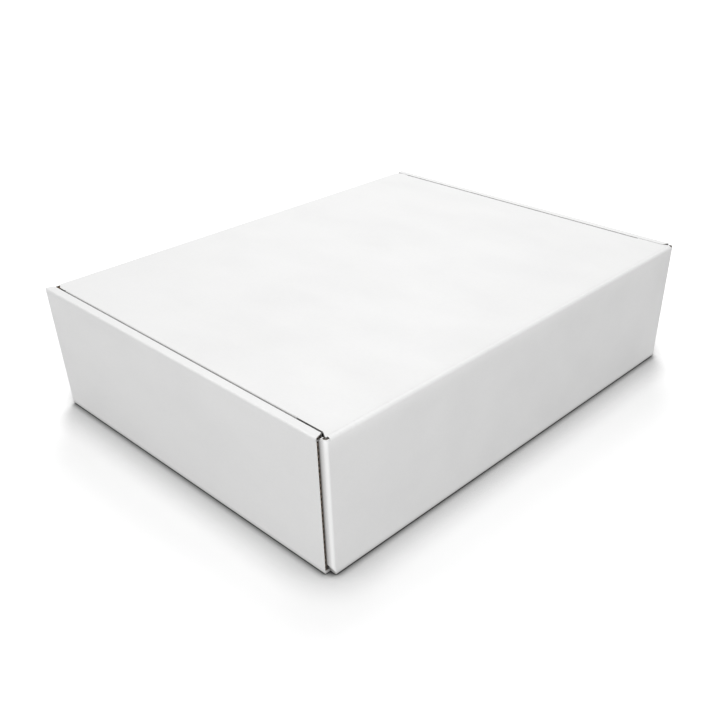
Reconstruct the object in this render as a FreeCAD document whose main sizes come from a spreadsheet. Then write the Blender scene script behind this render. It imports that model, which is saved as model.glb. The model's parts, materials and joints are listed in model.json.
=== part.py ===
import FreeCAD, Part

import os

import Sketcher

# Corrugated mailer box with rolled side walls and a hinged tuck lid, in millimetres.
# The box is one folded blank of thin fluted board. The crease along the top of the rear
# wall is the only fold that moves once the box is made up, so the blank is two sheets
# here: the tray, and the lid that swings on that crease.
# +X runs along the rear wall, +Y points out through it, +Z is up, and the origin is on
# the floor under the middle of the base.

# Driving sizes
SIZES = {
    "board": 1.6,
    "box_long": 320.0,
    "box_deep": 250.0,
    "box_tall": 82.0,
    "crease_out": 0.8,
    "crease_in": 0.3,
    "roll_out": 0.9,
    "roll_in": 0.7,
    "hinge_out": 2.0,
    "corner_out": 1.9,
    "liner": 0.3,
    "flute_open": 0.8,
    "ply_play": 0.35,
    "lid_play": 0.35,
    "hinge_play": 0.15,
    "rear_back": 4.5,
    "front_back": 1.2,
    "strip_slant": 1.9,
    "ply_rise": 0.3,
    "flap_long": 78.0,
    "flap_low": 5.2,
    "flap_slope": 3.0,
    "flap_round": 9.0,
    "flap_step": 1.3,
    "fold_drop": 0.4,
    "fold_lap": 0.4,
    "tab_wide": 38.0,
    "tab_apart": 110.0,
    "tab_rise": 0.25,
    "slot_play": 0.3,
    "hinge_side": 4.9,
    "notch_back": 0.9,
    "notch_side": 0.8,
    "ear_back": 2.1,
    "ear_side": 3.7,
    "ear_long": 6.2,
    "margin_step": 0.4,
    "wing_crease": 1.6,
    "wing_back": 24.0,
    "wing_front": 12.0,
    "wing_deep": 42.0,
    "wing_slope": 5.0,
    "wing_round": 14.0,
    "nose_back": 8.2,
    "nose_side": 9.4,
    "tuck_crease": 1.2,
    "tuck_drop": 46.0,
    "tuck_run": 6.0,
    "tuck_taper": 5.0,
    "tuck_round": 14.0,
    "cut_over": 1.0,
}


class Size:
    """A length together with the sheet expression that it comes from."""

    def __init__(self, value, text):
        self.value = value
        self.text = text

    def join(self, other, sign, value):
        text = other.text if isinstance(other, Size) else str(other)
        return Size(value, "(" + self.text + " " + sign + " " + text + ")")

    def __add__(self, other):
        return self.join(other, "+", self.value + number(other))

    def __sub__(self, other):
        return self.join(other, "-", self.value - number(other))

    def __mul__(self, other):
        return self.join(other, "*", self.value * number(other))

    def __truediv__(self, other):
        return self.join(other, "/", self.value / number(other))

    def __neg__(self):
        return Size(-self.value, "(0 - " + self.text + ")")

    def root(self):
        return Size(self.value ** 0.5, "sqrt(" + self.text + ")")


def number(item):
    """The plain value of a size or of a number."""
    return item.value if isinstance(item, Size) else item


ZERO = Size(0.0, "0")


def fill_sheet(doc):
    """Put the driving sizes in the document's sheet, one aliased cell each."""
    sheet = doc.addObject("Spreadsheet::Sheet", "Sizes")
    for row, (name, value) in enumerate(SIZES.items(), start=1):
        sheet.set("A" + str(row), name)
        sheet.set("B" + str(row), str(value))
        sheet.setAlias("B" + str(row), name)
    doc.recompute()
    return {name: Size(float(sheet.get(name)), "Sizes." + name) for name in SIZES}


def origin_plane(body, role):
    """One of the body's own origin planes."""
    return [item for item in body.Origin.OriginFeatures if item.Role == role][0]


def tie(sketch, kind, item, size):
    """Hold the first point of a piece of geometry across or up from the sketch's origin."""
    if size.text == ZERO.text:
        axis = -2 if kind == "DistanceX" else -1
        sketch.addConstraint(Sketcher.Constraint("PointOnObject", item, 1, axis))
        return
    index = sketch.addConstraint(Sketcher.Constraint(kind, -1, 1, item, 1, size.value))
    sketch.setExpression("Constraints[" + str(index) + "]", size.text)


def draw_loop(sketch, loop):
    """Draw one closed outline; a corner is across and up, with a fold radius if it has one."""
    first = sketch.GeometryCount
    points = [FreeCAD.Vector(corner[0].value, corner[1].value, 0) for corner in loop]
    for start, end in zip(points, points[1:] + points[:1]):
        sketch.addGeometry(Part.LineSegment(start, end), False)
    for step in range(len(loop)):
        following = first + (step + 1) % len(loop)
        sketch.addConstraint(Sketcher.Constraint("Coincident", first + step, 2, following, 1))
    held = []
    rounds = []
    for step, corner in enumerate(loop):
        if len(corner) == 2:
            held.append((first + step, corner))
            continue
        arc = sketch.GeometryCount
        sketch.fillet(first + step, 1, corner[2].value, True, True)
        held.append((arc + 1, corner))
        rounds.append((arc, corner[2]))
    for item, corner in held:
        tie(sketch, "DistanceX", item, corner[0])
        tie(sketch, "DistanceY", item, corner[1])
    for arc, radius in rounds:
        index = sketch.addConstraint(Sketcher.Constraint("Radius", arc, radius.value))
        sketch.setExpression("Constraints[" + str(index) + "]", radius.text)


def outline(body, name, role, loops, lift=None):
    """Draw closed outlines on a plane of the body, with every corner tied to the sheet."""
    sketch = body.newObject("Sketcher::SketchObject", name)
    sketch.AttachmentSupport = [(origin_plane(body, role), "")]
    sketch.MapMode = "FlatFace"
    if lift is not None:
        sketch.setExpression("AttachmentOffset.Base.z", lift.text)
    for loop in loops:
        draw_loop(sketch, loop)
    return sketch


def sided(points, across_sign=1, up_sign=1):
    """An outline as drawn, or mirrored across either axis of its sketch."""
    flipped = []
    for across, up, *radius in points:
        side = across if across_sign > 0 else -across
        level = up if up_sign > 0 else -up
        flipped.append((side, level, *radius))
    return flipped


def pad(body, name, sketch, ahead, behind=None, reverse=False):
    """Extrude a sketch along its normal, and behind it too where that is given."""
    feature = body.newObject("PartDesign::Pad", name)
    feature.Profile = sketch
    feature.setExpression("Length", ahead.text)
    if behind is not None:
        feature.SideType = "Two sides"
        feature.setExpression("Length2", behind.text)
    feature.Reversed = reverse
    body.Document.recompute()
    return feature


def pocket(body, name, sketch, depth=None, reverse=False):
    """Cut a sketch into the body, to a depth or right through both ways."""
    before = body.Shape.Volume
    feature = body.newObject("PartDesign::Pocket", name)
    feature.Profile = sketch
    if depth is None:
        feature.Type = "ThroughAll"
        feature.Type2 = "ThroughAll"
        feature.SideType = "Two sides"
    else:
        feature.setExpression("Length", depth.text)
    feature.Reversed = reverse
    body.Document.recompute()
    if body.Shape.Volume >= before:
        raise RuntimeError(name + " cuts nothing")
    return feature


def both(size):
    """A size on either side of the middle."""
    return [size, -size]


def build_tray(doc, size):
    """Base, walls, dust flaps and rolled sides, all one sheet."""
    body = doc.addObject("PartDesign::Body", "tray")
    board = size["board"]
    tall = size["box_tall"]
    over = size["cut_over"]
    half_long = size["box_long"] / 2
    half_deep = size["box_deep"] / 2
    strip = board * 3 + size["ply_play"] * 2
    flap_face = half_long - board - size["ply_play"]
    wall_half = flap_face - size["corner_out"]
    under_strip = tall - board - size["ply_play"]
    wall_inner = half_deep - board
    stub = half_deep - board * 3
    outside = size["crease_out"]
    inside = size["crease_in"]

    # Base, front wall and rear wall, with the rear wall's half of the lid crease
    section = outline(body, "long_section", "YZ_Plane", [[
        (half_deep, ZERO, outside),
        (half_deep, tall, size["hinge_out"]),
        (stub, tall),
        (stub, tall - board),
        (wall_inner, tall - board, inside),
        (wall_inner, board, inside),
        (-wall_inner, board, inside),
        (-wall_inner, under_strip),
        (-half_deep, under_strip),
        (-half_deep, ZERO, outside),
    ]])
    pad(body, "base_and_walls", section, wall_half, wall_half)
    mitre = outline(body, "mitre", "YZ_Plane", [[
        (half_deep + over, tall + over),
        (stub - over, tall + over),
        (stub - over, tall - board * 3 - over),
    ]])
    pocket(body, "lid_crease_half", mitre)

    # Corner folds at the ends of the front and rear walls
    fold_start = wall_half - size["fold_lap"]
    fold_leg = half_deep - size["corner_out"] - board
    corner = [
        (fold_start, half_deep),
        (flap_face, half_deep, size["corner_out"]),
        (flap_face, fold_leg),
        (flap_face - board, fold_leg),
        (flap_face - board, wall_inner, inside),
        (fold_start, wall_inner),
    ]
    rear_top = tall - size["fold_drop"]
    for name, y_sign, top in (("rear_corners", 1, rear_top), ("front_corners", -1, under_strip)):
        folds = outline(body, name + "_section", "XY_Plane",
                        [sided(corner, x_sign, y_sign) for x_sign in (1, -1)], lift=outside)
        pad(body, name, folds, top - outside)
    liner = size["liner"]
    flap_step = half_deep - size["rear_back"] + size["flap_step"]
    fold_open = [
        (fold_start, half_deep - liner),
        (flap_face - liner, half_deep - liner, size["corner_out"] - liner),
        (flap_face - liner, flap_step + liner),
        (flap_face - board + liner, flap_step + liner),
        (flap_face - board + liner, wall_inner + liner),
        (fold_start, wall_inner + liner),
    ]

    # Dust flaps, which run from the corner folds along the inside of the side walls
    flap_start = half_deep - size["corner_out"]
    flap_end = half_deep - size["flap_long"]
    flap_high = under_strip - size["flap_slope"]
    step_end = half_deep - size["rear_back"]
    rear_flap = [
        (flap_start, size["flap_low"]),
        (flap_start, rear_top),
        (flap_step, rear_top),
        (step_end, under_strip),
        (flap_end, flap_high, size["flap_round"]),
        (flap_end, size["flap_low"] + size["flap_slope"], size["flap_round"]),
    ]
    front_flap = [
        (-flap_start, size["flap_low"]),
        (-flap_start, under_strip),
        (-flap_end, flap_high, size["flap_round"]),
        (-flap_end, size["flap_low"] + size["flap_slope"], size["flap_round"]),
    ]
    for name, lift, reverse in (("right_flaps", flap_face, True), ("left_flaps", -flap_face, False)):
        flaps = outline(body, name + "_outline", "YZ_Plane", [rear_flap, front_flap], lift=lift)
        pad(body, name, flaps, board, reverse=reverse)
    fold_tops = outline(body, "fold_top_flutes", "XY_Plane",
                        [sided(fold_open, x) for x in (1, -1)], lift=rear_top)
    pocket(body, "fold_top_openings", fold_tops, size["flute_open"] * 2)
    relief = [
        (wall_half, outside - over),
        (wall_half, outside),
        (flap_face, size["flap_low"]),
        (flap_face + over, size["flap_low"]),
        (flap_face + over, outside - over),
    ]
    reliefs = outline(body, "reliefs", "XZ_Plane", [sided(relief, x) for x in (1, -1)])
    pocket(body, "corner_reliefs", reliefs)

    # Base once more with the side walls, each rolled up, over the flaps and down again
    ply_foot = board + size["ply_rise"]
    outer_inside = half_long - board
    inner_face = half_long - strip
    inner_back = inner_face + board
    right_half = [
        (half_long, ZERO, outside),
        (half_long, tall, size["roll_out"]),
        (inner_face, tall, size["roll_in"]),
        (inner_face, ply_foot),
        (inner_back, ply_foot),
        (inner_back, tall - board, inside),
        (outer_inside, tall - board, inside),
        (outer_inside, board, inside),
    ]
    left_half = list(reversed(sided(right_half, -1)))
    rolled = outline(body, "end_section", "XZ_Plane", [right_half + left_half])
    pad(body, "rolled_sides", rolled, half_deep - size["front_back"], half_deep - size["rear_back"])

    # Slanted ends of the top strips, with the inner plies cut back behind them
    strip_cuts = []
    ply_cuts = []
    strip_opens = []
    open_out = half_long - size["roll_out"]
    open_in = inner_face + size["roll_out"]
    slant = size["strip_slant"] / strip
    raw_ends = ((1, half_deep - size["rear_back"]), (-1, half_deep - size["front_back"]))
    for y_sign, raw_end in raw_ends:
        strip_cut = [
            (half_long, raw_end),
            (inner_face, raw_end - size["strip_slant"]),
            (inner_face - over, raw_end - size["strip_slant"]),
            (inner_face - over, raw_end + over),
            (half_long, raw_end + over),
        ]
        ply_cut = [
            (inner_face - over, raw_end - size["strip_slant"]),
            (inner_back + size["ply_play"] / 2, raw_end - size["strip_slant"]),
            (inner_back + size["ply_play"] / 2, raw_end + over),
            (inner_face - over, raw_end + over),
        ]
        out_line = raw_end - slant * (half_long - open_out)
        in_line = raw_end - slant * (half_long - open_in)
        strip_open = [
            (open_out, out_line + over),
            (open_in, in_line + over),
            (open_in, in_line - size["flute_open"]),
            (open_out, out_line - size["flute_open"]),
        ]
        for x_sign in (1, -1):
            strip_cuts.append(sided(strip_cut, x_sign, y_sign))
            ply_cuts.append(sided(ply_cut, x_sign, y_sign))
            strip_opens.append(sided(strip_open, x_sign, y_sign))
    strip_ends = outline(body, "strip_ends", "XY_Plane", strip_cuts, lift=tall)
    pocket(body, "strip_end_cuts", strip_ends, board + size["ply_play"] / 2)
    ply_ends = outline(body, "ply_ends", "XY_Plane", ply_cuts, lift=tall - board)
    pocket(body, "ply_end_cuts", ply_ends, tall - board - ply_foot + size["ply_rise"] / 2)

    # Flutes that lie open between the liners at the cut ends of the rolled sides and along
    # the top of the front wall
    strip_flutes = outline(body, "strip_flutes", "XY_Plane", strip_opens, lift=tall - liner)
    pocket(body, "strip_openings", strip_flutes, board - liner * 2)
    outer_open = [
        (outer_inside + liner, board + liner),
        (half_long - liner, board + liner),
        (half_long - liner, tall - board - liner),
        (outer_inside + liner, tall - board - liner),
    ]
    inner_open = [
        (inner_face + liner, ply_foot + liner),
        (inner_back - liner, ply_foot + liner),
        (inner_back - liner, tall - board - liner),
        (inner_face + liner, tall - board - liner),
    ]
    for y_sign, raw_end in raw_ends:
        place = "rear" if y_sign > 0 else "front"
        for ply, loop, back in (("outer", outer_open, ZERO), ("inner", inner_open, size["strip_slant"])):
            face = raw_end - back
            name = place + "_" + ply
            flutes = outline(body, name + "_flutes", "XZ_Plane",
                             [sided(loop, x) for x in (1, -1)], lift=-face if y_sign > 0 else face)
            pocket(body, name + "_openings", flutes, size["flute_open"], reverse=y_sign > 0)
    top_end = wall_half - size["corner_out"]
    top_flutes = outline(body, "front_top_flutes", "XY_Plane", [[
        (-top_end, liner - half_deep),
        (top_end, liner - half_deep),
        (top_end, -(wall_inner + liner)),
        (-top_end, -(wall_inner + liner)),
    ]], lift=under_strip)
    pocket(body, "front_top_opening", top_flutes, size["flute_open"])

    # Lock slots through the base, and the tabs of the inner plies that stand in them
    slots = []
    tabs = []
    for x_sign in (1, -1):
        for middle in both(size["tab_apart"] / 2):
            for loops, gap in ((slots, size["slot_play"]), (tabs, ZERO)):
                near = middle - size["tab_wide"] / 2 - gap
                far = middle + size["tab_wide"] / 2 + gap
                hole = [
                    (inner_face - gap, near),
                    (inner_back + gap, near),
                    (inner_back + gap, far),
                    (inner_face - gap, far),
                ]
                loops.append(sided(hole, x_sign))
    slot_outline = outline(body, "slot_outline", "XY_Plane", slots)
    pocket(body, "lock_slots", slot_outline, board + size["ply_rise"] / 2, reverse=True)
    tab_outline = outline(body, "tab_outline", "XY_Plane", tabs, lift=size["tab_rise"])
    pad(body, "lock_tabs", tab_outline, ply_foot + board - size["tab_rise"])
    return body


def build_lid(doc, size):
    """Lid panel with its wings and tuck flap, all one sheet."""
    body = doc.addObject("PartDesign::Body", "lid")
    board = size["board"]
    tall = size["box_tall"]
    over = size["cut_over"]
    half_long = size["box_long"] / 2
    half_deep = size["box_deep"] / 2
    strip = board * 3 + size["ply_play"] * 2
    lid_half = half_long - strip - size["lid_play"]
    lid_front = half_deep - board - size["lid_play"]
    hinge_half = half_long - size["hinge_side"]
    ear_half = half_long - size["ear_side"]
    tuck_half = half_long - size["nose_side"]
    inside = size["crease_in"]
    liner = size["liner"]
    stub = tall - board * 3
    lean = size["tuck_run"] / size["tuck_drop"]
    flap_wide = board * (lean * lean + 1).root()
    tuck_long = size["tuck_drop"] + over
    tuck_foot = tall - size["tuck_drop"]

    # Panel and tuck flap, whose free edge leans in so that it swings clear of the front wall
    section = outline(body, "lid_section", "YZ_Plane", [[
        (half_deep, tall, size["hinge_out"]),
        (-lid_front, tall, size["tuck_crease"]),
        (lean * tuck_long - lid_front, tall - tuck_long),
        (lean * tuck_long - lid_front + flap_wide, tall - tuck_long),
        (lean * board - lid_front + flap_wide, tall - board, inside),
        (half_deep - board, tall - board, inside),
        (half_deep - board, stub),
        (half_deep, stub),
    ]])
    pad(body, "panel_and_tuck", section, ear_half, ear_half)

    # Tapered ends, free edge and round corners of the tuck flap
    tuck_end = tuck_half - size["tuck_taper"]
    tuck_top = tall - board * 2
    tuck_under = tuck_foot - over * 2
    tuck_cut = outline(body, "tuck_outline", "XZ_Plane", [[
        (tuck_half, tuck_top),
        (tuck_end, tuck_foot, size["tuck_round"]),
        (-tuck_end, tuck_foot, size["tuck_round"]),
        (-tuck_half, tuck_top),
        (-(ear_half + over), tuck_top),
        (-(ear_half + over), tuck_under),
        (ear_half + over, tuck_under),
        (ear_half + over, tuck_top),
    ]])
    pocket(body, "tuck_edges", tuck_cut)

    # Lid's half of the crease that it shares with the rear wall
    mitre_end = half_deep - size["hinge_play"]
    mitre = outline(body, "mitre", "YZ_Plane", [[
        (mitre_end + over, tall + over),
        (mitre_end - board * 3 - over, stub - over),
        (mitre_end + over, stub - over),
    ]])
    pocket(body, "lid_crease_half", mitre)

    # Side edges of the panel: rear ears, raw margins, wing creases and front corners
    margin = lid_half - size["margin_step"]
    wing_rear = half_deep - size["wing_back"]
    wing_nose = lid_front - size["wing_front"]
    crease_start = lid_half - size["wing_crease"]
    side_cut = [
        (ear_half + over, half_deep + over),
        (hinge_half, half_deep + over),
        (hinge_half, half_deep - size["notch_back"]),
        (hinge_half - size["notch_side"], half_deep - size["notch_back"] - size["notch_side"]),
        (ear_half, half_deep - size["ear_back"]),
        (margin, half_deep - size["ear_long"]),
        (margin, wing_rear),
        (crease_start, wing_rear),
        (crease_start, -wing_nose),
        (margin, -wing_nose),
        (margin, size["nose_back"] - half_deep),
        (tuck_half, -lid_front),
        (tuck_half, -lid_front - over),
        (ear_half + over, -lid_front - over),
    ]
    sides = outline(body, "side_outline", "XY_Plane", [sided(side_cut, x) for x in (1, -1)])
    pocket(body, "side_edges", sides)

    # Wings, creased to the panel and folded down just inside the inner plies of the tray
    crease_in_panel = crease_start - size["fold_lap"]
    wing_top = tall - size["wing_crease"]
    crease_foot = wing_top - size["fold_lap"]
    crease = [
        (crease_in_panel, tall),
        (lid_half, tall, size["wing_crease"]),
        (lid_half, crease_foot),
        (lid_half - board, crease_foot),
        (lid_half - board, tall - board, inside),
        (crease_in_panel, tall - board),
    ]
    creases = outline(body, "wing_crease_section", "XZ_Plane",
                      [sided(crease, x_sign) for x_sign in (1, -1)], lift=-wing_rear)
    pad(body, "wing_creases", creases, wing_rear + wing_nose)
    wing_foot = tall - size["wing_deep"]
    wing = [
        (wing_rear, wing_top),
        (wing_rear - size["wing_slope"], wing_foot, size["wing_round"]),
        (size["wing_slope"] - wing_nose, wing_foot, size["wing_round"]),
        (-wing_nose, wing_top),
    ]
    depth = size["flute_open"]
    rim_top = tall - board * 2
    rim_round = size["wing_round"] - depth
    wing_rim = [
        (wing_rear + over, rim_top),
        (wing_rear + over, wing_foot - over),
        (-(wing_nose + over), wing_foot - over),
        (-(wing_nose + over), rim_top),
        (depth - wing_nose, rim_top),
        (size["wing_slope"] + depth - wing_nose, wing_foot + depth, rim_round),
        (wing_rear - size["wing_slope"] - depth, wing_foot + depth, rim_round),
        (wing_rear - depth, rim_top),
    ]
    for name, x_sign in (("right_wing", 1), ("left_wing", -1)):
        face = lid_half if x_sign > 0 else -lid_half
        under_liner = lid_half - liner if x_sign > 0 else liner - lid_half
        flat = outline(body, name + "_outline", "YZ_Plane", [wing], lift=face)
        pad(body, name, flat, board, reverse=x_sign > 0)
        rim = outline(body, name + "_flutes", "YZ_Plane", [wing_rim], lift=under_liner)
        pocket(body, name + "_openings", rim, board - liner * 2, reverse=x_sign < 0)

    # Flutes that lie open along the free edge of the tuck flap
    tuck_face = size["tuck_run"] - lid_front
    foot_flutes = outline(body, "tuck_flutes", "YZ_Plane", [[
        (tuck_face + liner, tuck_foot - over),
        (tuck_face + flap_wide - liner, tuck_foot - over),
        (tuck_face + flap_wide - liner, tuck_foot + depth),
        (tuck_face + liner, tuck_foot + depth),
    ]])
    pocket(body, "tuck_openings", foot_flutes)
    return body


def check(doc):
    """Stop if any object of the document failed to build."""
    for item in doc.Objects:
        if "Invalid" in item.State or "Error" in item.State:
            raise RuntimeError(item.Name + " failed: " + str(item.State))


def export(body):
    """Write one finished sheet to its own STEP file."""
    shape = body.Shape
    if shape.isNull() or not shape.isValid() or len(shape.Solids) != 1:
        raise RuntimeError(body.Label + " is not one valid solid")
    shape.exportStep("parts/" + body.Label + ".step")


def main():
    os.makedirs("parts", exist_ok=True)
    doc = FreeCAD.newDocument("mailer_box")
    size = fill_sheet(doc)
    bodies = [build_tray(doc, size), build_lid(doc, size)]
    doc.recompute()
    check(doc)
    for body in bodies:
        export(body)


main()
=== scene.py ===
"""Looks of a white corrugated mailer box: coated board, open flutes, kraft inside, creases and studio."""

import json
import logging
import math
from collections.abc import Sequence
from dataclasses import dataclass, field
from enum import Enum

import bmesh
import bpy
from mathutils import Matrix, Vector

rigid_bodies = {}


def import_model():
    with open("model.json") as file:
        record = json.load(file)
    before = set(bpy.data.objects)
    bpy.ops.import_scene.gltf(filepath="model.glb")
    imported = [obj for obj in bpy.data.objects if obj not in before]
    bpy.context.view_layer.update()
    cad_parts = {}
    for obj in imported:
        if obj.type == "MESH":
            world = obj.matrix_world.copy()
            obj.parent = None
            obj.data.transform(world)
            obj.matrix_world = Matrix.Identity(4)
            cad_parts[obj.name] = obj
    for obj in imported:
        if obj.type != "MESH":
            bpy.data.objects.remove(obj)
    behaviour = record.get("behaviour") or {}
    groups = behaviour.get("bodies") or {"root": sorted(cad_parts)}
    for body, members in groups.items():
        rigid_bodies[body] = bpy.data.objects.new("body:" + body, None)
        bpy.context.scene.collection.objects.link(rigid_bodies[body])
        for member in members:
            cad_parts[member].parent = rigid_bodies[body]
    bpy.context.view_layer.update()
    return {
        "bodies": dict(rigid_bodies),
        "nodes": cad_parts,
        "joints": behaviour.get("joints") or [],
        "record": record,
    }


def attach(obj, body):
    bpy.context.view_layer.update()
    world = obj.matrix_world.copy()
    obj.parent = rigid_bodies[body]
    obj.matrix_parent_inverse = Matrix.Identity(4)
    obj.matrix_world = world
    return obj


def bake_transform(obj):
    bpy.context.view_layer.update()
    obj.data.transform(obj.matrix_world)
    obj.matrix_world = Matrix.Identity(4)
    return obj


MM = 0.001
FLUTE_PITCH = 3.3 * MM
SHARP_ANGLE = 0.6

Colour = tuple[float, float, float, float]
Point = tuple[float, float, float]
Span = tuple[float, float]

log = logging.getLogger("mailer")


class Body(Enum):
    """The two parts of the box that move against each other."""

    TRAY = "tray"
    LID = "lid"


class Slot(Enum):
    """The record's material slots."""

    TRAY = "white_board"
    LID = "lid_board"


class Cut(Enum):
    """What shows in a cut of the board, with its place in the piece's list of materials."""

    MEDIUM = 0
    WHITE = 1
    BROWN = 2
    SHADOW = 3


class Mixed(Enum):
    """What a Mix node mixes, with the places of its two inputs and of its output."""

    NUMBER = ("FLOAT", 2, 3, 0)
    COLOUR = ("RGBA", 6, 7, 2)


@dataclass(frozen=True)
class BoxSizes:
    """Sizes of the folded blank in metres, the same as those of the solids."""

    board: float = 1.6 * MM
    half_long: float = 160.0 * MM
    half_deep: float = 125.0 * MM
    tall: float = 82.0 * MM
    roll_inner: float = 154.5 * MM
    raw_rear: float = 120.5 * MM
    raw_front: float = 123.8 * MM
    roll_slant: float = 1.9 * MM
    wall_half: float = 156.15 * MM
    flap_face: float = 158.05 * MM
    corner_round: float = 1.9 * MM
    fold_top: float = 81.6 * MM
    flap_step: float = 121.8 * MM
    roll_out: float = 0.9 * MM
    liner: float = 0.3 * MM
    flute_open: float = 0.8 * MM
    front_top: float = 80.05 * MM
    ply_foot: float = 1.9 * MM
    lid_half: float = 154.15 * MM
    lid_front: float = 123.05 * MM
    hinge_half: float = 155.1 * MM
    wing_crease: float = 1.6 * MM
    wing_rear: float = 101.0 * MM
    wing_nose: float = 111.05 * MM
    wing_foot: float = 40.0 * MM
    wing_slope: float = 5.0 * MM
    wing_round: float = 14.0 * MM
    tuck_half: float = 150.6 * MM
    tuck_taper: float = 5.0 * MM
    tuck_foot: float = 36.0 * MM
    tuck_lean: float = 6.0 / 46.0
    tuck_round: float = 14.0 * MM


@dataclass(frozen=True)
class Speckle:
    """A noise in the paper: cells per metre, octaves, and how far the cells are squeezed along Y."""

    scale: float
    detail: float
    squeeze: float


@dataclass(frozen=True)
class Relief:
    """A bump: the share of it that shows, and the height of 1 in metres."""

    strength: float
    height: float


class Graph:
    """A material's node tree with short ways to add and join nodes."""

    def __init__(self, name: str) -> None:
        """Start an empty material.

        Args:
            name: the material's name.
        """
        self.material = bpy.data.materials.new(name)
        self.material.use_nodes = True
        self.tree = self.material.node_tree
        self.tree.nodes.clear()
        self.out = self.tree.nodes.new("ShaderNodeOutputMaterial")

    def add(self, kind: str, **settings: object) -> bpy.types.Node:
        """Add one node.

        Args:
            kind: the node's type after "ShaderNode".
            **settings: attributes of the node, such as its operation.

        Returns:
            The new node.
        """
        node = self.tree.nodes.new("ShaderNode" + kind)
        for key, value in settings.items():
            setattr(node, key, value)
        return node

    def feed(self, socket: bpy.types.NodeSocket, value: object) -> None:
        """Join a socket to a socket, or set its own value.

        Args:
            socket: the input to feed.
            value: an output socket, a number or a colour.
        """
        if isinstance(value, bpy.types.NodeSocket):
            self.tree.links.new(value, socket)
        else:
            socket.default_value = value

    def calc(self, operation: str, first: object, second: object = 0.0) -> bpy.types.NodeSocket:
        """Add a Math node.

        Args:
            operation: the Math node's operation.
            first: its first value or socket.
            second: its second value or socket.

        Returns:
            The result's socket.
        """
        node = self.add("Math", operation=operation)
        self.feed(node.inputs[0], first)
        self.feed(node.inputs[1], second)
        return node.outputs[0]

    def split(self, vector: bpy.types.NodeSocket) -> tuple[bpy.types.NodeSocket, ...]:
        """Take a vector apart.

        Args:
            vector: the vector's socket.

        Returns:
            The sockets of its X, Y and Z.
        """
        node = self.add("SeparateXYZ")
        self.feed(node.inputs[0], vector)
        return tuple(node.outputs)

    def noise(self, place: bpy.types.NodeSocket, speckle: Speckle) -> bpy.types.NodeSocket:
        """Add a noise.

        Args:
            place: the coordinates.
            speckle: its cells.

        Returns:
            The noise's factor.
        """
        mapping = self.add("Mapping")
        self.feed(mapping.inputs["Vector"], place)
        mapping.inputs["Scale"].default_value = (1.0, speckle.squeeze, 1.0)
        texture = self.add("TexNoise")
        self.feed(texture.inputs["Vector"], mapping.outputs[0])
        texture.inputs["Scale"].default_value = speckle.scale
        texture.inputs["Detail"].default_value = speckle.detail
        return texture.outputs["Fac"]

    def spread(
        self, factor: bpy.types.NodeSocket, source: Span, target: Span = (0.0, 1.0)
    ) -> bpy.types.NodeSocket:
        """Map a stretch of values onto another.

        Args:
            factor: the incoming values.
            source: the lowest and the highest incoming value.
            target: what they become.

        Returns:
            The mapped values.
        """
        node = self.add("MapRange", clamp=True)
        self.feed(node.inputs["Value"], factor)
        node.inputs["From Min"].default_value, node.inputs["From Max"].default_value = source
        node.inputs["To Min"].default_value, node.inputs["To Max"].default_value = target
        return node.outputs["Result"]

    def mix(
        self, factor: bpy.types.NodeSocket, first: object, second: object, kind: Mixed = Mixed.COLOUR
    ) -> bpy.types.NodeSocket:
        """Mix two colours or two numbers.

        Args:
            factor: how much of the second shows.
            first: a value or socket.
            second: a value or socket.
            kind: what they are.

        Returns:
            The mixed value.
        """
        data_type, one, two, result = kind.value
        node = self.add("Mix", data_type=data_type)
        self.feed(node.inputs[0], factor)
        self.feed(node.inputs[one], first)
        self.feed(node.inputs[two], second)
        return node.outputs[result]

    def bump(
        self, height: bpy.types.NodeSocket, relief: Relief, under: bpy.types.NodeSocket | None = None
    ) -> bpy.types.NodeSocket:
        """Add a bump.

        Args:
            height: the height's socket, from 0 to 1.
            relief: how strong and how high it is.
            under: a bump below this one.

        Returns:
            The bent normal.
        """
        node = self.add("Bump")
        node.inputs["Strength"].default_value = relief.strength
        node.inputs["Distance"].default_value = relief.height
        self.feed(node.inputs["Height"], height)
        if under is not None:
            self.feed(node.inputs["Normal"], under)
        return node.outputs[0]


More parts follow.
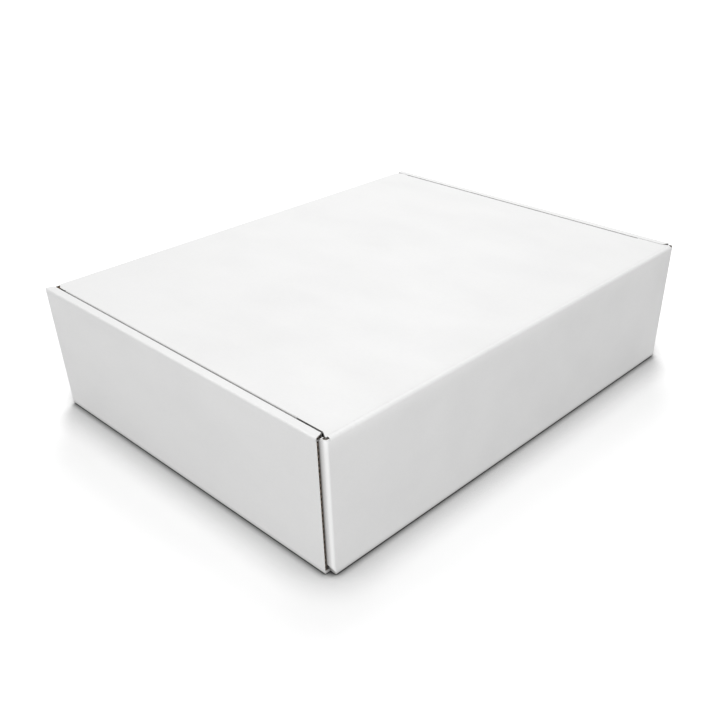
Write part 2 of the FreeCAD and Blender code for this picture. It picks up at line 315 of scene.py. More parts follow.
@dataclass(frozen=True)
class CoatedWhite:
    """White clay-coated liner: nearly even, with a faint mottle, paper grain and the flutes' washboard, and
    painted shade that darkens it in recesses, folds and gaps.
    """

    name: str = "coated_white"
    light: Colour = (0.905, 0.905, 0.902, 1.0)
    dull: Colour = (0.872, 0.872, 0.870, 1.0)
    # Painted shade: the dark grey the paper's colour turns to where ambient occlusion finds other surfaces close
    # by.
    painted_shade: Colour = (0.22, 0.215, 0.21, 1.0)
    roughness: Span = (0.50, 0.62)
    specular: float = 0.25
    cloud: Speckle = Speckle(34.0, 4.0, 0.55)
    grain: Speckle = Speckle(900.0, 5.0, 0.45)
    fibre: Speckle = Speckle(2600.0, 3.0, 0.25)
    grain_span: Span = (0.35, 0.65)
    grain_share: float = 0.35
    cloud_span: Span = (0.35, 0.68)
    cloud_share: float = 0.65
    rough_span: Span = (0.3, 0.7)
    # Reach, range and samples of the ambient occlusion that paints the shade.
    recess: float = 4.0 * MM
    recess_span: Span = (0.35, 0.97)
    samples: int = 8
    ridges: Relief = Relief(0.30, 0.02 * MM)
    waves: Relief = Relief(0.15, 0.30 * MM)
    crease: Relief = Relief(1.0, 0.6 * MM)
    fuzz: Relief = Relief(0.22, 0.03 * MM)
    crease_span: Span = (74.0 * MM, 81.0 * MM)
    crease_power: float = 2.2
    crease_behind: float = 122.5 * MM
    soft_span: Span = (-120.0 * MM, 0.0)
    firm_share: float = 0.3
    side_facing: float = 0.7

    def build(self) -> bpy.types.Material:
        """Build the finish.

        Returns:
            The material.
        """
        graph = Graph(self.name)
        place = graph.add("TexCoord").outputs["Object"]
        cloud = graph.noise(place, self.cloud)
        grain = graph.spread(graph.noise(place, self.grain), self.grain_span)
        patches = graph.spread(cloud, self.cloud_span, (0.0, self.cloud_share))
        mottle = graph.calc("ADD", graph.calc("MULTIPLY", grain, self.grain_share), patches)
        # Painted shade: ambient occlusion within a few millimetres darkens the paper's colour in recesses, folds
        # and gaps.
        recess = graph.add("AmbientOcclusion", samples=self.samples)
        recess.inputs["Distance"].default_value = self.recess
        shade = graph.spread(recess.outputs["AO"], self.recess_span)
        paper = graph.mix(mottle, self.light, self.dull)
        shader = graph.add("BsdfPrincipled")
        graph.feed(shader.inputs["Base Color"], graph.mix(shade, self.painted_shade, paper))
        graph.feed(shader.inputs["Roughness"], graph.spread(cloud, self.rough_span, self.roughness))
        shader.inputs["Specular IOR Level"].default_value = self.specular
        board = graph.bump(self.washboard(graph, place), self.ridges)
        waved = graph.bump(cloud, self.waves, board)
        rolled = graph.bump(self.soft_crease(graph, place), self.crease, waved)
        graph.feed(shader.inputs["Normal"], graph.bump(graph.noise(place, self.fibre), self.fuzz, rolled))
        graph.feed(graph.out.inputs["Surface"], shader.outputs[0])
        return graph.material

    def soft_crease(self, graph: Graph, place: bpy.types.NodeSocket) -> bpy.types.NodeSocket:
        """How the rear wall's face falls away towards the lid crease, most where the board is softest.

        Args:
            graph: the material's nodes.
            place: object coordinates.

        Returns:
            The face's height.
        """
        along, back, up = graph.split(place)
        fall = graph.calc("POWER", graph.spread(up, self.crease_span), self.crease_power)
        behind = graph.calc("GREATER_THAN", back, self.crease_behind)
        soft = graph.spread(along, self.soft_span, (self.firm_share, 1.0))
        depth = graph.calc("MULTIPLY", graph.calc("MULTIPLY", fall, behind), soft)
        return graph.calc("SUBTRACT", 1.0, depth)

    def washboard(self, graph: Graph, place: bpy.types.NodeSocket) -> bpy.types.NodeSocket:
        """Faint ridges over the flutes, which run along Y on level and side faces and up the others.

        Args:
            graph: the material's nodes.
            place: object coordinates.

        Returns:
            The ridges' height.
        """
        along, _, up = graph.split(place)
        facing = graph.split(graph.add("NewGeometry").outputs["True Normal"])[0]
        on_side = graph.calc("GREATER_THAN", graph.calc("ABSOLUTE", facing), self.side_facing)
        across = graph.mix(on_side, along, up, Mixed.NUMBER)
        wave = graph.calc("SINE", graph.calc("MULTIPLY", across, math.tau / FLUTE_PITCH))
        return graph.spread(wave, (-1.0, 1.0))


@dataclass(frozen=True)
class Kraft:
    """Paper with fibres, for the inner liner, the flutes and the cut edges, and near-black for the painted shade
    in the depth of the cuts.
    """

    name: str
    light: Colour
    dark: Colour
    fibre: Speckle = Speckle(700.0, 6.0, 0.3)
    cloud: Speckle = Speckle(26.0, 3.0, 0.6)
    fibre_span: Span = (0.38, 0.66)
    fibre_share: float = 0.75
    cloud_span: Span = (0.3, 0.7)
    cloud_share: float = 0.3
    roughness: float = 0.82
    specular: float = 0.25
    fuzz: Relief = Relief(0.4, 0.05 * MM)

    def build(self) -> bpy.types.Material:
        """Build the finish.

        Returns:
            The material.
        """
        graph = Graph(self.name)
        place = graph.add("TexCoord").outputs["Object"]
        fibre = graph.noise(place, self.fibre)
        threads = graph.spread(fibre, self.fibre_span, (0.0, self.fibre_share))
        patches = graph.spread(graph.noise(place, self.cloud), self.cloud_span, (0.0, self.cloud_share))
        shader = graph.add("BsdfPrincipled")
        tone = graph.mix(graph.calc("ADD", threads, patches), self.light, self.dark)
        graph.feed(shader.inputs["Base Color"], tone)
        shader.inputs["Roughness"].default_value = self.roughness
        shader.inputs["Specular IOR Level"].default_value = self.specular
        graph.feed(shader.inputs["Normal"], graph.bump(fibre, self.fuzz))
        graph.feed(graph.out.inputs["Surface"], shader.outputs[0])
        return graph.material


@dataclass(frozen=True)
class StudioWhite:
    """White sweep under and behind the box; the camera sees it paler, whiter still away from the box, and with a
    painted contact shadow around the box.
    """

    name: str = "studio_white"
    lit: Colour = (0.15, 0.15, 0.15, 1.0)
    near: Colour = (1.18, 1.18, 1.18, 1.0)
    far: Colour = (2.4, 2.4, 2.4, 1.0)
    painted_shadow: Colour = (0.0, 0.0, 0.0, 1.0)
    fade: Span = (0.20, 0.75)
    # Reaches of the ambient occlusion that paints the contact shadow on the floor.
    contact: float = 4.0 * MM
    skirt: float = 25.0 * MM
    samples: int = 8

    def build(self) -> bpy.types.Material:
        """Build the finish.

        Returns:
            The material.
        """
        graph = Graph(self.name)
        path = graph.add("LightPath")
        straight = graph.calc("MAXIMUM", path.outputs["Is Camera Ray"], path.outputs["Is Glossy Ray"])
        direct = graph.calc("MAXIMUM", straight, path.outputs["Is Transmission Ray"])
        distance = graph.add("VectorMath", operation="LENGTH")
        graph.feed(distance.inputs[0], graph.add("TexCoord").outputs["Object"])
        away = graph.spread(distance.outputs["Value"], self.fade)
        # Painted shadow: ambient occlusion darkens the camera's view of the floor towards black near the box.
        seen = graph.mix(self.open_share(graph), self.painted_shadow, graph.mix(away, self.near, self.far))
        sweep = graph.add("BsdfDiffuse")
        graph.feed(sweep.inputs["Color"], graph.mix(direct, self.lit, seen))
        graph.feed(graph.out.inputs["Surface"], sweep.outputs[0])
        return graph.material

    def open_share(self, graph: Graph) -> bpy.types.NodeSocket:
        """How much of the room a point of the floor sees past the box, close by and a little further; it sets
        the painted contact shadow.

        Args:
            graph: the material's nodes.

        Returns:
            The share, from 0 under the box to 1.
        """
        shares = []
        for reach in (self.contact, self.skirt):
            node = graph.add("AmbientOcclusion", samples=self.samples)
            node.inputs["Distance"].default_value = reach
            shares.append(node.outputs["AO"])
        return graph.calc("MULTIPLY", *shares)


@dataclass
class Finishes:
    """Every finish of the box, built once."""

    white: bpy.types.Material = field(init=False)
    kraft: bpy.types.Material = field(init=False)
    cuts: list[bpy.types.Material] = field(init=False)

    def __post_init__(self) -> None:
        """Build the finishes, those of the cuts in the order of Cut."""
        flutes = Speckle(1500.0, 6.0, 0.3)
        liners = Speckle(2200.0, 6.0, 0.3)
        self.white = CoatedWhite().build()
        self.kraft = Kraft("kraft_liner", (0.47, 0.31, 0.18, 1.0), (0.36, 0.225, 0.125, 1.0)).build()
        papers = {
            # The flute medium and the inner liner's cut are far darker than the kraft liner: part paper colour,
            # part painted shade of the gap beside the cut. The flute shadow is painted shade in the depth of the
            # cuts.
            Cut.MEDIUM: Kraft("flute_medium_and_shade", (0.24, 0.19, 0.15, 1.0), (0.15, 0.12, 0.095, 1.0), flutes),
            Cut.WHITE: Kraft("cut_white", (0.93, 0.93, 0.92, 1.0), (0.86, 0.86, 0.85, 1.0), liners),
            Cut.BROWN: Kraft("cut_brown_and_shade", (0.13, 0.11, 0.095, 1.0), (0.085, 0.072, 0.062, 1.0), liners),
            Cut.SHADOW: Kraft("flute_shadow", (0.045, 0.034, 0.028, 1.0), (0.022, 0.017, 0.014, 1.0), flutes),
        }
        self.cuts = [papers[cut].build() for cut in Cut]


def finished(
    name: str,
    shape: bmesh.types.BMesh,
    finishes: Sequence[bpy.types.Material],
    body: Body | None,
) -> bpy.types.Object:
    """Turn a bmesh into a piece of the box.

    Args:
        name: the piece's name.
        shape: the mesh in the shared frame, which is freed.
        finishes: its materials in index order.
        body: the body it rides on, or None for a piece that rides on neither.

    Returns:
        The new object.
    """
    bmesh.ops.recalc_face_normals(shape, faces=shape.faces)
    for edge in shape.edges:
        edge.smooth = edge.calc_face_angle(math.pi) < SHARP_ANGLE
    mesh = bpy.data.meshes.new(name)
    shape.to_mesh(mesh)
    shape.free()
    for finish in finishes:
        mesh.materials.append(finish)
    piece = bpy.data.objects.new(name, mesh)
    bpy.context.scene.collection.objects.link(piece)
    if body is not None:
        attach(piece, body.value)
    log.info("%s: %d faces", name, len(mesh.polygons))
    return piece


def rounded_sheet(
    corners: Sequence[Vector], rounded: Sequence[int], radius: float, steps: int = 8
) -> bmesh.types.BMesh:
    """Flat sheet with some of its corners rounded.

    Args:
        corners: its corners in order.
        rounded: which of them are rounded.
        radius: their radius.
        steps: how many pieces each round has.

    Returns:
        The sheet.
    """
    sheet = bmesh.new()
    verts = [sheet.verts.new(corner) for corner in corners]
    sheet.faces.new(verts)
    for index in rounded:
        before = corners[index - 1] - corners[index]
        after = corners[index + 1] - corners[index]
        bmesh.ops.bevel(
            sheet,
            geom=[verts[index]],
            offset=radius / math.tan(before.angle(after) / 2.0),
            segments=steps,
            profile=0.5,
            affect="VERTICES",
            material=-1,
        )
    return sheet


def rounded_line(corners: Sequence[Vector], rounded: Sequence[int], radius: float) -> list[Vector]:
    """Points of a line with rounded corners, read off the rim of the sheet that it bounds.

    Args:
        corners: the line's corners in order.
        rounded: which of them are rounded.
        radius: their radius.

    Returns:
        The line's points, from the first corner to the last.
    """
    sheet = rounded_sheet(corners, rounded, radius)
    sheet.faces.ensure_lookup_table()
    points = [vert.co.copy() for vert in sheet.faces[0].verts]
    sheet.free()
    start = min(range(len(points)), key=lambda k: (points[k] - corners[0]).length)
    points = points[start:] + points[:start]
    if (points[1] - corners[-1]).length < (points[-1] - corners[-1]).length:
        points = points[:1] + points[:0:-1]
    return points


def line_across(along: float, path: Sequence[Span]) -> bmesh.types.BMesh:
    """Line of edges in a plane across the box.

    Args:
        along: the plane's X.
        path: Y and Z of the line's points.

    Returns:
        The line.
    """
    wire = bmesh.new()
    verts = [wire.verts.new((along, back, up)) for back, up in path]
    for pair in zip(verts, verts[1:]):
        wire.edges.new(pair)
    wire.edges.ensure_lookup_table()
    return wire


def swept(wire: bmesh.types.BMesh, width: float) -> bmesh.types.BMesh:
    """Extrude a line of edges along X to a sheet.

    Args:
        wire: the line, which becomes the sheet.
        width: the sheet's width.

    Returns:
        The sheet.
    """
    made = bmesh.ops.extrude_edge_only(wire, edges=wire.edges[:])
    moved = [item for item in made["geom"] if isinstance(item, bmesh.types.BMVert)]
    bmesh.ops.translate(wire, vec=Vector((width, 0.0, 0.0)), verts=moved)
    return wire


@dataclass(frozen=True)
class Station:
    """One point of a cut's middle line: towards the outer liner, out of the cut, and the run so far."""

    place: Vector
    outer: Vector
    out: Vector
    run: float


@dataclass
class RawEdge:
    """A cut edge of the board, where the fluted sheet lies open in the groove between the liners.

    Either outer, the way to the outer liner, or out, the way out of the cut, is given and stays the same
    along the whole edge. Where across is given the flutes are counted along it, otherwise along the path.
    A lip is the strip of white paper that the groove's side shows.
    """

    path: Sequence[Vector]
    inward: Vector
    outer: Vector | None = None
    out: Vector | None = None
    across: Vector | None = None
    depth: float = 0.8 * MM
    board: float = 1.6 * MM
    liner: float = 0.3 * MM
    lip: float = 0.12 * MM
    proud: float = 0.03 * MM
    medium: float = 0.19 * MM
    paper: float = 0.02 * MM
    pitch: float = FLUTE_PITCH
    steps: int = 12
    ribbon_share: float = 0.98

    def add_to(self, shape: bmesh.types.BMesh) -> None:
        """Add the edge to a mesh whose materials are those of Cut.

        Args:
            shape: the mesh.
        """
        reach = self.board / 2 - self.liner
        half = self.board / 2
        line = self.stations(None)
        self.bar(shape, line, (reach - self.lip, half), (-self.paper, self.proud), Cut.WHITE)
        # The inner liner's cut is darkened below its kraft colour: part paper, part painted shade.
        self.bar(shape, line, (-half, -reach), (-self.paper, self.proud), Cut.BROWN)
        # The groove's two sides and its floor are near-black: painted shade in the depth of the cut.
        self.bar(shape, line, (reach - self.paper, reach), (-self.depth, 0.0), Cut.SHADOW)
        self.bar(shape, line, (-reach, self.paper - reach), (-self.depth, 0.0), Cut.SHADOW)
        self.bar(shape, line, (-reach, reach), (-self.depth, self.proud - self.depth), Cut.SHADOW)
        self.ribbon(shape)

    def stations(self, step: float | None) -> list[Station]:
        """Points along the cut with the directions there.

        Args:
            step: the most that two points are apart, or None for the path's own points.

        Returns:
            The stations in order.
        """
        places: list[Vector] = [self.path[0]]
        for start, end in zip(self.path, self.path[1:]):
            count = 1 if step is None else max(1, math.ceil((end - start).length / step))
            places.extend(start.lerp(end, k / count) for k in range(1, count + 1))
        made = []
        run = 0.0
        for k, place in enumerate(places):
            ahead = places[min(k + 1, len(places) - 1)] - places[max(k - 1, 0)]
            turned = ahead.cross(self.out if self.outer is None else self.outer).normalized()
            if turned.dot(self.inward - place) > 0.0:
                turned = -turned
            run += (place - places[k - 1]).length if k else 0.0
            if self.outer is None:
                made.append(Station(place, turned, self.out, run))
            else:
                made.append(Station(place, self.outer, turned, run))
        return made

    def bar(
        self, shape: bmesh.types.BMesh, line: Sequence[Station], width: Span, rise: Span, cut: Cut
    ) -> None:
        """Add a bar of even section along the cut.

        Args:
            shape: the mesh.
            line: the cut's stations.
            width: its two sides, from the board's middle towards the outer liner.
            rise: its foot and its top, out of the cut.
            cut: what it shows.
        """
        self.sweep(
            shape,
            [spot.place + spot.outer * width[0] + spot.out * rise[0] for spot in line],
            [spot.outer * (width[1] - width[0]) for spot in line],
            [spot.out * (rise[1] - rise[0]) for spot in line],
            cut,
        )

    def ribbon(self, shape: bmesh.types.BMesh) -> None:
        """Add the fluted sheet, which swings from liner to liner across the flutes.

        Args:
            shape: the mesh.
        """
        swing = self.board / 2 - self.liner - self.paper - self.medium / 2
        tall = self.depth * self.ribbon_share
        line = self.stations(self.pitch / self.steps)
        starts = []
        widths = []
        for spot in line:
            counted = spot.run if self.across is None else spot.place.dot(self.across)
            turn = math.tau * counted / self.pitch
            slope = swing * math.tau / self.pitch * math.cos(turn)
            wide = self.medium * math.sqrt(1.0 + slope * slope)
            starts.append(spot.place + spot.outer * (swing * math.sin(turn) - wide / 2) - spot.out * tall)
            widths.append(spot.outer * wide)
        self.sweep(shape, starts, widths, [spot.out * (tall - self.paper) for spot in line], Cut.MEDIUM)

    def sweep(
        self,
        shape: bmesh.types.BMesh,
        starts: Sequence[Vector],
        widths: Sequence[Vector],
        rises: Sequence[Vector],
        cut: Cut,
    ) -> None:
        """Extrude a line to a strip and the strip to a closed bar.

        Args:
            shape: the mesh.
            starts: the line's points.
            widths: how far each moves to make the strip.
            rises: how far each moves to make the bar.
            cut: what the bar shows.
        """
        mark = shape.verts.layers.int.verify()
        verts = []
        for k, start in enumerate(starts):
            vert = shape.verts.new(start)
            vert[mark] = k
            verts.append(vert)
        wire = [shape.edges.new(pair) for pair in zip(verts, verts[1:])]
        strip = bmesh.ops.extrude_edge_only(shape, edges=wire)["geom"]
        for vert in strip:
            if isinstance(vert, bmesh.types.BMVert):
                vert.co += widths[vert[mark]]
        faces = [item for item in strip if isinstance(item, bmesh.types.BMFace)]
        raised = bmesh.ops.extrude_face_region(shape, geom=faces)["geom"]
        tops = [item for item in raised if isinstance(item, bmesh.types.BMVert)]
        for vert in tops:
            vert.co += rises[vert[mark]]
        for vert in (*verts, *tops):
            for face in vert.link_faces:
                face.material_index = cut.value


@dataclass
class TrayEdges:
    """Raw edges of the tray: ends of the rolled side walls, the corner folds' tops and the front wall's top.

    The fold tops' flutes are pressed closer together than elsewhere and lie deeper between the liners.
    """

    sizes: BoxSizes
    finishes: Finishes
    fold_start: float = 0.3 * MM
    fold_lip: float = -0.02 * MM
    fold_pitch: float = 2.2 * MM

    def build(self) -> None:
        """Build the raw edges as four pieces."""
        outer = bmesh.new()
        inner = bmesh.new()
        folds = bmesh.new()
        s = self.sizes
        for side in (1.0, -1.0):
            for end, raw in ((1.0, s.raw_rear), (-1.0, s.raw_front)):
                self.wall_end(outer, side, end, raw)
                self.roll_end(outer, side, end, raw)
                self.ply_end(inner, side, end, raw)
            self.fold_end(folds, side)
        finished("side_wall_cut_ends", outer, self.finishes.cuts, Body.TRAY)
        finished("inner_ply_cut_ends", inner, self.finishes.cuts, Body.TRAY)
        finished("corner_fold_cut_tops", folds, self.finishes.cuts, Body.TRAY)
        front = bmesh.new()
        middle = s.board / 2 - s.half_deep
        end = s.wall_half - s.corner_round
        RawEdge(
            path=[Vector((-end, middle, s.front_top)), Vector((end, middle, s.front_top))],
            outer=Vector((0.0, -1.0, 0.0)),
            inward=Vector(),
            across=Vector((1.0, 0.0, 0.0)),
        ).add_to(front)
        finished("front_wall_cut_top", front, self.finishes.cuts, Body.TRAY)

    def wall_end(self, shape: bmesh.types.BMesh, side: float, end: float, raw: float) -> None:
        """Add the upright cut end of an outer ply.

        Args:
            shape: the mesh.
            side: 1 for the right wall, -1 for the left.
            end: 1 for the rear end, -1 for the front.
            raw: how far from the middle the cut is.
        """
        s = self.sizes
        middle = side * (s.half_long - s.board / 2)
        foot = s.board + s.liner
        top = s.tall - s.board - s.liner
        RawEdge(
            path=[Vector((middle, end * raw, foot)), Vector((middle, end * raw, top))],
            outer=Vector((side, 0.0, 0.0)),
            inward=Vector((middle, 0.0, s.tall / 2)),
            across=Vector((0.0, 0.0, 1.0)),
        ).add_to(shape)

    def roll_end(self, shape: bmesh.types.BMesh, side: float, end: float, raw: float) -> None:
        """Add the slanted cut end of a rolled top strip.

        Args:
            shape: the mesh.
            side: 1 for the right wall, -1 for the left.
            end: 1 for the rear end, -1 for the front.
            raw: how far from the middle the cut is at the outer crease.
        """
        s = self.sizes
        level = s.tall - s.board / 2
        slant = s.roll_slant / (s.half_long - s.roll_inner)
        spots = []
        for place in (s.half_long - s.roll_out, s.roll_inner + s.roll_out):
            spots.append(Vector((side * place, end * (raw - slant * (s.half_long - place)), level)))
        RawEdge(
            path=spots,
            outer=Vector((0.0, 0.0, 1.0)),
            inward=Vector((spots[0].x, 0.0, level)),
            across=Vector((1.0, 0.0, 0.0)),
        ).add_to(shape)

    def ply_end(self, shape: bmesh.types.BMesh, side: float, end: float, raw: float) -> None:
        """Add the upright cut end of an inner ply.

        Args:
            shape: the mesh.
            side: 1 for the right wall, -1 for the left.
            end: 1 for the rear end, -1 for the front.
            raw: how far from the middle the outer ply's cut is.
        """
        s = self.sizes
        middle = side * (s.roll_inner + s.board / 2)
        level = end * (raw - s.roll_slant)
        foot = s.ply_foot + s.liner
        top = s.tall - s.board - s.liner
        RawEdge(
            path=[Vector((middle, level, foot)), Vector((middle, level, top))],
            outer=Vector((-side, 0.0, 0.0)),
            inward=Vector((middle, 0.0, s.tall / 2)),
            across=Vector((0.0, 0.0, 1.0)),
        ).add_to(shape)

    def fold_end(self, shape: bmesh.types.BMesh, side: float) -> None:
        """Add the level cut top of a rear corner fold, round from the rear wall to its dust flap.

        Args:
            shape: the mesh.
            side: 1 for the right corner, -1 for the left.
        """
        s = self.sizes
        half = s.board / 2
        corners = [
            Vector((side * (s.wall_half - self.fold_start), s.half_deep - half, s.fold_top)),
            Vector((side * (s.flap_face - half), s.half_deep - half, s.fold_top)),
            Vector((side * (s.flap_face - half), s.flap_step + s.liner, s.fold_top)),
        ]
        RawEdge(
            path=rounded_line(corners, (1,), s.corner_round - half),
            inward=Vector((0.0, 0.0, s.fold_top)),
            out=Vector((0.0, 0.0, 1.0)),
            depth=s.flute_open * 2,
            lip=self.fold_lip,
            pitch=self.fold_pitch,
        ).add_to(shape)


@dataclass
class LidEdges:
    """Raw edges of the lid: the wings' rims and the tuck flap's free edge."""

    sizes: BoxSizes
    finishes: Finishes

    def build(self) -> None:
        """Build the raw edges as two pieces."""
        s = self.sizes
        wings = bmesh.new()
        for side in (1.0, -1.0):
            RawEdge(
                path=self.rim(side * (s.lid_half - s.board / 2)),
                outer=Vector((side, 0.0, 0.0)),
                inward=Vector((side * s.lid_half, (s.wing_rear - s.wing_nose) / 2, s.tall)),
                across=Vector((0.0, 0.0, 1.0)),
            ).add_to(wings)
        finished("wing_cut_edges", wings, self.finishes.cuts, Body.LID)
        tuck = bmesh.new()
        reach = s.tuck_half - s.tuck_taper - s.tuck_round
        across = s.board * math.sqrt(1.0 + s.tuck_lean**2)
        level = -s.lid_front + s.tuck_lean * (s.tall - s.tuck_foot) + across / 2
        RawEdge(
            path=[Vector((-reach, level, s.tuck_foot)), Vector((reach, level, s.tuck_foot))],
            outer=Vector((0.0, -1.0, 0.0)),
            inward=Vector((0.0, level, s.tall)),
            across=Vector((1.0, 0.0, 0.0)),
        ).add_to(tuck)
        finished("tuck_cut_edge", tuck, self.finishes.cuts, Body.LID)

    def rim(self, middle: float) -> list[Vector]:
        """Cut line of a wing, down its rear end, along its foot and up its front end.

        Args:
            middle: how far to the right the wing's middle is.

        Returns:
            The line's points.
        """
        s = self.sizes
        high = s.tall - s.board * 2
        lean = s.wing_slope / (s.tall - s.wing_crease - s.wing_foot)
        drop = lean * (s.tall - s.wing_crease - high)
        corners = [
            Vector((middle, s.wing_rear - drop, high)),
            Vector((middle, s.wing_rear - s.wing_slope, s.wing_foot)),
            Vector((middle, s.wing_slope - s.wing_nose, s.wing_foot)),
            Vector((middle, drop - s.wing_nose, high)),
        ]
        return rounded_line(corners, (1, 2), s.wing_round)


@dataclass
class KraftLiners:
    """The blank's brown inner side: over the base and the plain walls, and under the lid and its flaps."""

    sizes: BoxSizes
    finishes: Finishes
    lift: float = 0.04 * MM
    paper: float = 0.03 * MM
    top_gap: float = 0.05 * MM
    side_gap: float = 0.06 * MM
    wing_gap: float = 0.1 * MM
    edge_gap: float = 0.3 * MM
    fold_round: float = 0.5 * MM
    fold_steps: int = 4

    def build(self) -> None:
        """Build the liners of the tray and of the lid."""
        self.tray_liner()
        self.panel_liner()
        self.wing_liners()
        self.tuck_liner()

    def papered(self, name: str, sheet: bmesh.types.BMesh, body: Body) -> None:
        """Turn a sheet to the inside of the box, give it its paper thickness and finish it.

        Args:
            name: the piece's name.
            sheet: the flat or folded sheet.
            body: the body it rides on.
        """
        middle = Vector((0.0, 0.0, self.sizes.tall / 2))
        bmesh.ops.recalc_face_normals(sheet, faces=sheet.faces)
        face = max(sheet.faces, key=lambda item: item.calc_area())
        if face.normal.dot(middle - face.calc_center_median()) < 0.0:
            bmesh.ops.reverse_faces(sheet, faces=sheet.faces[:])
        bmesh.ops.solidify(sheet, geom=sheet.faces[:], thickness=-self.paper)
        finished(name, sheet, [self.finishes.kraft], body)

    def tray_liner(self) -> None:
        """One sheet down the front wall, over the base and up the rear wall."""
        s = self.sizes
        wall = s.half_deep - s.board - self.lift
        floor = s.board + self.lift
        half = s.roll_inner - self.side_gap
        front = s.front_top - self.top_gap
        rear = s.tall - s.board * 2
        path = [(-wall, front), (-wall, floor), (wall, floor), (wall, rear)]
        sheet = swept(line_across(-half, path), half * 2)
        bmesh.ops.bevel(
            sheet,
            geom=[edge for edge in sheet.edges if len(edge.link_faces) == 2],
            offset=self.fold_round,
            segments=self.fold_steps,
            profile=0.5,
            affect="EDGES",
            material=-1,
        )
        self.papered("kraft_base_and_walls", sheet, Body.TRAY)

    def panel_liner(self) -> None:
        """Sheet under the lid panel."""
        s = self.sizes
        half = s.lid_half - s.board - self.top_gap
        level = s.tall - s.board - self.lift
        front = -s.lid_front + s.board + self.edge_gap
        rear = s.half_deep - s.board * 2 - self.edge_gap
        corners = [
            Vector((half, front, level)),
            Vector((half, rear, level)),
            Vector((-half, rear, level)),
            Vector((-half, front, level)),
        ]
        self.papered("kraft_under_lid", rounded_sheet(corners, (), 0.0), Body.LID)

    def wing_liners(self) -> None:
        """Sheets on the wings' inner faces."""
        s = self.sizes
        high = s.tall - s.board - self.wing_gap
        for side, name in ((1.0, "kraft_right_wing"), (-1.0, "kraft_left_wing")):
            level = side * (s.lid_half - s.board - self.lift)
            corners = [
                Vector((level, s.wing_rear, high)),
                Vector((level, s.wing_rear - s.wing_slope, s.wing_foot)),
                Vector((level, s.wing_slope - s.wing_nose, s.wing_foot)),
                Vector((level, -s.wing_nose, high)),
            ]
            self.papered(name, rounded_sheet(corners, (1, 2), s.wing_round), Body.LID)

    def tuck_liner(self) -> None:
        """Sheet on the tuck flap's inner face."""
        s = self.sizes
        across = s.board * math.sqrt(1.0 + s.tuck_lean**2) + self.lift
        high = s.tall - s.board * 2
        top = -s.lid_front + s.tuck_lean * (s.tall - high) + across
        foot = -s.lid_front + s.tuck_lean * (s.tall - s.tuck_foot) + across
        end = s.tuck_half - s.tuck_taper
        corners = [
            Vector((s.tuck_half, top, high)),
            Vector((end, foot, s.tuck_foot)),
            Vector((-end, foot, s.tuck_foot)),
            Vector((-s.tuck_half, top, high)),
        ]
        self.papered("kraft_tuck_flap", rounded_sheet(corners, (1, 2), s.tuck_round), Body.LID)


@dataclass
class LidCrease:
    """The living crease between rear wall and lid: a white skin outside and a kraft one inside, on neither body.
    """

    sizes: BoxSizes
    finishes: Finishes
    skin_radius: float = 1.8 * MM
    paper: float = 0.04 * MM
    clear: float = 0.05 * MM
    sink: float = 0.03 * MM
    flat: float = 2.2 * MM
    turn_steps: int = 12
    fold_reach: float = 2.6 * MM
    fold_flat: float = 0.4 * MM
    fold_corner: float = 0.12 * MM
    fold_cuts: int = 10

    def build(self) -> None:
        """Build both skins."""
        left = self.clear - self.sizes.hinge_half
        self.outer_skin(left)
        self.inner_skin(left)

    def outer_skin(self, left: float) -> None:
        """White skin round the crease, with a short flat down the wall and another onto the lid.

        Args:
            left: X of its left end.
        """
        s = self.sizes
        far = s.half_deep - self.skin_radius
        high = s.tall - self.skin_radius
        wire = bmesh.new()
        first = wire.verts.new((left, s.half_deep, high))
        turned = bmesh.ops.spin(
            wire,
            geom=[first],
            cent=(left, far, high),
            axis=(1.0, 0.0, 0.0),
            angle=math.pi / 2,
            steps=self.turn_steps,
        )
        foot = wire.verts.new((left, s.half_deep - self.sink, high - self.flat))
        end = wire.verts.new((left, far - self.flat, s.tall - self.sink))
        wire.edges.new((foot, first))
        wire.edges.new((turned["geom_last"][0], end))
        skin = self.skinned("crease_outer_skin", wire, self.paper, self.finishes.white)
        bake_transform(skin)

    def inner_skin(self, left: float) -> None:
        """Kraft skin in the crease's inner corner, cut fine enough to bend.

        Args:
            left: X of its left end.
        """
        s = self.sizes
        wall = s.half_deep - s.board - self.clear
        under = s.tall - s.board - self.clear
        path = [
            (wall, under - self.fold_reach),
            (wall, under - self.fold_flat),
            (wall - self.fold_corner, under - self.fold_corner),
            (wall - self.fold_flat, under),
            (wall - self.fold_reach, under),
        ]
        wire = line_across(left, path)
        bmesh.ops.subdivide_edges(wire, edges=[wire.edges[0], wire.edges[-1]], cuts=self.fold_cuts)
        fold = self.skinned("crease_inner_skin", wire, -self.paper, self.finishes.kraft)
        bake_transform(fold)

    def skinned(
        self, name: str, wire: bmesh.types.BMesh, thickness: float, finish: bpy.types.Material
    ) -> bpy.types.Object:
        """Sweep a line along the crease and give it its thickness.

        Args:
            name: the skin's name.
            wire: the line across the crease.
            thickness: the skin's thickness, below 0 towards the other side.
            finish: its material.

        Returns:
            The skin, which rides on no body yet.
        """
        sheet = swept(wire, (self.sizes.hinge_half - self.clear) * 2)
        bmesh.ops.recalc_face_normals(sheet, faces=sheet.faces)
        for face in sheet.faces:
            face.smooth = True
        bmesh.ops.solidify(sheet, geom=sheet.faces[:], thickness=thickness)
        return finished(name, sheet, [finish], None)


@dataclass(frozen=True)
class Lamp:
    """A square soft lamp: where it hangs, the length of its side and its power in watts."""

    place: Point
    size: float
    power: float


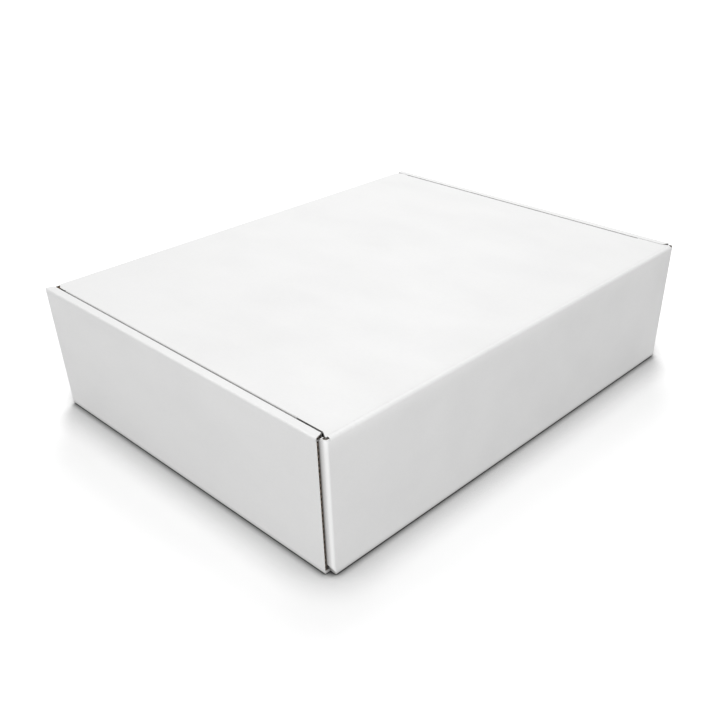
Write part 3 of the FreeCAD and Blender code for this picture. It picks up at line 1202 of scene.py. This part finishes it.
@dataclass
class Studio:
    """White sweep, soft lights and the camera of the photograph, turned by angles in degrees."""

    sky: float = 0.33
    white: Colour = (1.0, 1.0, 1.0, 1.0)
    lamps: tuple[Lamp, ...] = (
        Lamp((-1.1, -1.0, 1.6), 1.2, 23.0),
        Lamp((2.0, 0.3, 0.55), 1.0, 7.0),
        Lamp((0.3, 2.0, 0.55), 1.0, 5.6),
        Lamp((0.5, 0.5, 1.9), 0.6, 9.8),
        Lamp((1.9, 1.85, 0.35), 0.8, 27.4),
    )
    aim: Point = (0.0, 0.0, 0.04)
    floor_radius: float = 2.4
    floor_sides: int = 96
    floor_drop: float = 0.6 * MM
    picture_px: float = 719.0
    focal_px: float = 862.1
    centre_px: Span = (389.0, 445.1)
    sensor_mm: float = 36.0
    clip: Span = (0.01, 50.0)
    camera_at: Point = (0.36849, 0.36707, 0.29689)
    camera_turn: Point = (55.72799, 0.58672, 133.53031)

    def build(self) -> None:
        """Build the floor, the lights and the camera."""
        self.floor()
        self.world()
        for index, lamp in enumerate(self.lamps):
            self.hang("softbox_%d" % index, lamp)
        self.camera()

    def floor(self) -> None:
        """Lay the white sweep."""
        shape = bmesh.new()
        bmesh.ops.create_circle(shape, cap_ends=True, segments=self.floor_sides, radius=self.floor_radius)
        bmesh.ops.translate(shape, vec=Vector((0.0, 0.0, -self.floor_drop)), verts=shape.verts)
        mesh = bpy.data.meshes.new("sweep")
        shape.to_mesh(mesh)
        shape.free()
        mesh.materials.append(StudioWhite().build())
        sweep = bpy.data.objects.new("sweep", mesh)
        bpy.context.scene.collection.objects.link(sweep)

    def world(self) -> None:
        """Light the scene evenly, with a white backdrop for the camera."""
        world = bpy.data.worlds.new("studio")
        world.use_nodes = True
        tree = world.node_tree
        tree.nodes.clear()
        out = tree.nodes.new("ShaderNodeOutputWorld")
        light = tree.nodes.new("ShaderNodeBackground")
        light.inputs["Color"].default_value = self.white
        light.inputs["Strength"].default_value = self.sky
        white = tree.nodes.new("ShaderNodeBackground")
        white.inputs["Color"].default_value = self.white
        path = tree.nodes.new("ShaderNodeLightPath")
        choose = tree.nodes.new("ShaderNodeMixShader")
        tree.links.new(path.outputs["Is Camera Ray"], choose.inputs[0])
        tree.links.new(light.outputs[0], choose.inputs[1])
        tree.links.new(white.outputs[0], choose.inputs[2])
        tree.links.new(choose.outputs[0], out.inputs["Surface"])
        bpy.context.scene.world = world

    def hang(self, name: str, lamp: Lamp) -> None:
        """Hang one soft lamp that looks at the box.

        Args:
            name: its name.
            lamp: its place, size and power.
        """
        data = bpy.data.lights.new(name, "AREA")
        data.energy = lamp.power
        data.size = lamp.size
        softbox = bpy.data.objects.new(name, data)
        softbox.location = lamp.place
        softbox.rotation_euler = (Vector(self.aim) - Vector(lamp.place)).to_track_quat("-Z", "Y").to_euler()
        softbox.visible_camera = False
        bpy.context.scene.collection.objects.link(softbox)

    def camera(self) -> None:
        """Place the camera as the box's edges in the photograph give it."""
        data = bpy.data.cameras.new("camera")
        data.sensor_width = self.sensor_mm
        data.lens = self.focal_px * self.sensor_mm / self.picture_px
        data.shift_x = 0.5 - self.centre_px[0] / self.picture_px
        data.shift_y = self.centre_px[1] / self.picture_px - 0.5
        data.clip_start, data.clip_end = self.clip
        camera = bpy.data.objects.new("camera", data)
        camera.location = self.camera_at
        camera.rotation_euler = [math.radians(angle) for angle in self.camera_turn]
        bpy.context.scene.collection.objects.link(camera)
        bpy.context.scene.camera = camera


@dataclass
class MailerBox:
    """The dressed box: the solids in coated white, and the pieces that finish them."""

    frame: dict
    sizes: BoxSizes = field(default_factory=BoxSizes)

    def build(self) -> None:
        """Dress the solids and build every added piece."""
        finishes = Finishes()
        for name, node in self.frame["nodes"].items():
            self.dress(node, finishes.white)
            log.info("dressed %s", name)
        for group in (TrayEdges, LidEdges, KraftLiners, LidCrease):
            group(self.sizes, finishes).build()

    def dress(self, node: bpy.types.Object, finish: bpy.types.Material) -> None:
        """Put a finish in every slot of a solid.

        Args:
            node: the solid's object.
            finish: the material.
        """
        for slot in node.material_slots:
            slot.material = finish


def main() -> None:
    """Build the box in its studio."""
    logging.basicConfig(level=logging.INFO, format="%(name)s: %(message)s")
    bpy.context.scene.view_settings.view_transform = "Standard"
    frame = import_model()
    MailerBox(frame).build()
    Studio().build()
    bpy.context.view_layer.update()


if __name__ == "__main__":
    main()
